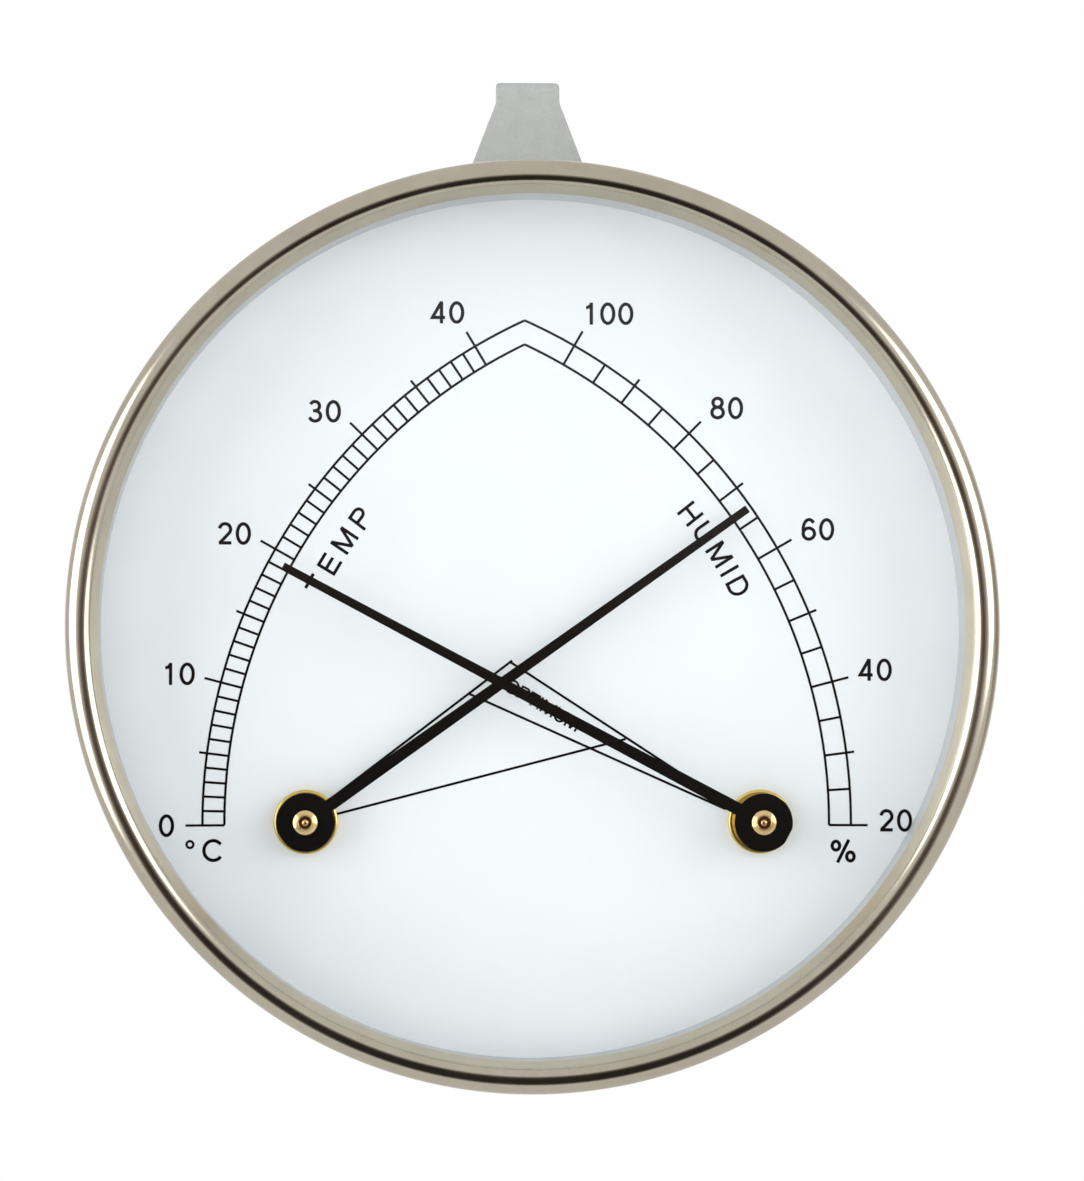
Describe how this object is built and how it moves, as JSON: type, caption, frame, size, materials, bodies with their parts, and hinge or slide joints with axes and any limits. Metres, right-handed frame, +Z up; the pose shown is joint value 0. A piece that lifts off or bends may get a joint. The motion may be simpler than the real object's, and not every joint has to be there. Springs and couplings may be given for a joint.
{
  "type": "thermo-hygrometer",
  "caption": "Round wall thermo-hygrometer: polished bezel, white dial, crossing pointers for temperature and humidity, bimetal coil and hair movements, sheet hanger.",
  "frame": {"origin": "seat of the hanger's hook, in the middle of its throat, where it rests on a nail", "axes": "the dial faces -Y, +Z up, +X to the reader's right"},
  "size_m": [0.103, 0.0325, 0.1156],
  "materials": {
    "bezel_metal": "polished",
    "glass": "clear",
    "spacer": "matt",
    "dial_paint": "satin lacquer",
    "case_paint": "fine textured paint",
    "hanger_paint": "fine textured paint",
    "collar_brass": "turned",
    "collet_brass": "turned",
    "pointer_black": "matt black",
    "steel": "turned",
    "movement_brass": "stamped",
    "bimetal": "rolled strip",
    "hair": "fine strands",
    "thread": "twisted"
  },
  "bodies": {
    "instrument": {"bezel": "bezel_metal", "glass": "glass", "spacer_ring": "spacer", "dial_plate": "dial_paint", "case_cup": "case_paint", "hanger": "hanger_paint", "hanger_rivets": "steel", "thermo_collar": "collar_brass", "hygro_collar": "collar_brass", "thermo_base": "movement_brass", "thermo_pillars": "movement_brass", "thermo_bridge": "movement_brass", "thermo_bridge_screws": "steel", "hygro_base": "movement_brass", "hygro_pillars": "movement_brass", "hygro_bridge": "movement_brass", "hygro_bridge_screws": "steel", "lever_screw": "steel", "hairspring_stud": "steel", "hair_bundle": "hair", "hygro_hairspring": "bimetal"},
    "regulator": {"thermo_regulator": "steel", "regulator_stud": "steel", "bimetal_coil": "bimetal"},
    "thermo_hand": {"thermo_pointer": "pointer_black", "thermo_collet": "collet_brass", "thermo_arbor": "steel", "coil_hub": "movement_brass"},
    "hygro_hand": {"hygro_pointer": "pointer_black", "hygro_collet": "collet_brass", "hygro_arbor": "steel", "hygro_pulley": "movement_brass", "pulley_wrap": "thread"},
    "link": {"hair_link": "movement_brass", "pull_thread": "thread"},
    "lever": {"hair_lever": "steel", "hair_clamp": "movement_brass"},
    "adjuster": {"hygro_adjuster": "movement_brass"}
  },
  "joints": [
    {"name": "regulator_turn", "type": "hinge", "parent": "instrument", "child": "regulator", "pos_m": [0.0257, -0.0172, -0.08495], "axis": [0, 1, 0], "range_deg": [-4, 4]},
    {"name": "temperature", "type": "hinge", "parent": "regulator", "child": "thermo_hand", "pos_m": [0.0257, -0.0172, -0.08495], "axis": [0, 1, 0], "range_deg": [-28, 30.8], "deforming": ["bimetal_coil"]},
    {"name": "humidity", "type": "hinge", "parent": "instrument", "child": "hygro_hand", "pos_m": [-0.0253, -0.0172, -0.08495], "axis": [0, -1, 0], "range_deg": [-33.3, 24.6], "deforming": ["hygro_hairspring", "hair_bundle"]},
    {"name": "link_slide", "type": "slide", "parent": "instrument", "child": "link", "axis": [-0.2588, 0, -0.9659], "range_m": [-0.00084, 0.00064]},
    {"name": "adjuster_turn", "type": "hinge", "parent": "instrument", "child": "adjuster", "pos_m": [-0.00901, -0.0172, -0.03962], "axis": [0, 1, 0], "range_deg": [-60, 60]},
    {"name": "lever_turn", "type": "hinge", "parent": "instrument", "child": "lever", "pos_m": [-0.00642, -0.0172, -0.02996], "axis": [0, 1, 0], "range_deg": [-2.6, 2.6]}
  ],
  "couplings": [
    {"joint": "link_slide", "follows": "humidity", "m_per_rad": 0.00139},
    {"joint": "lever_turn", "follows": "adjuster_turn", "ratio": -0.04135}
  ]
}
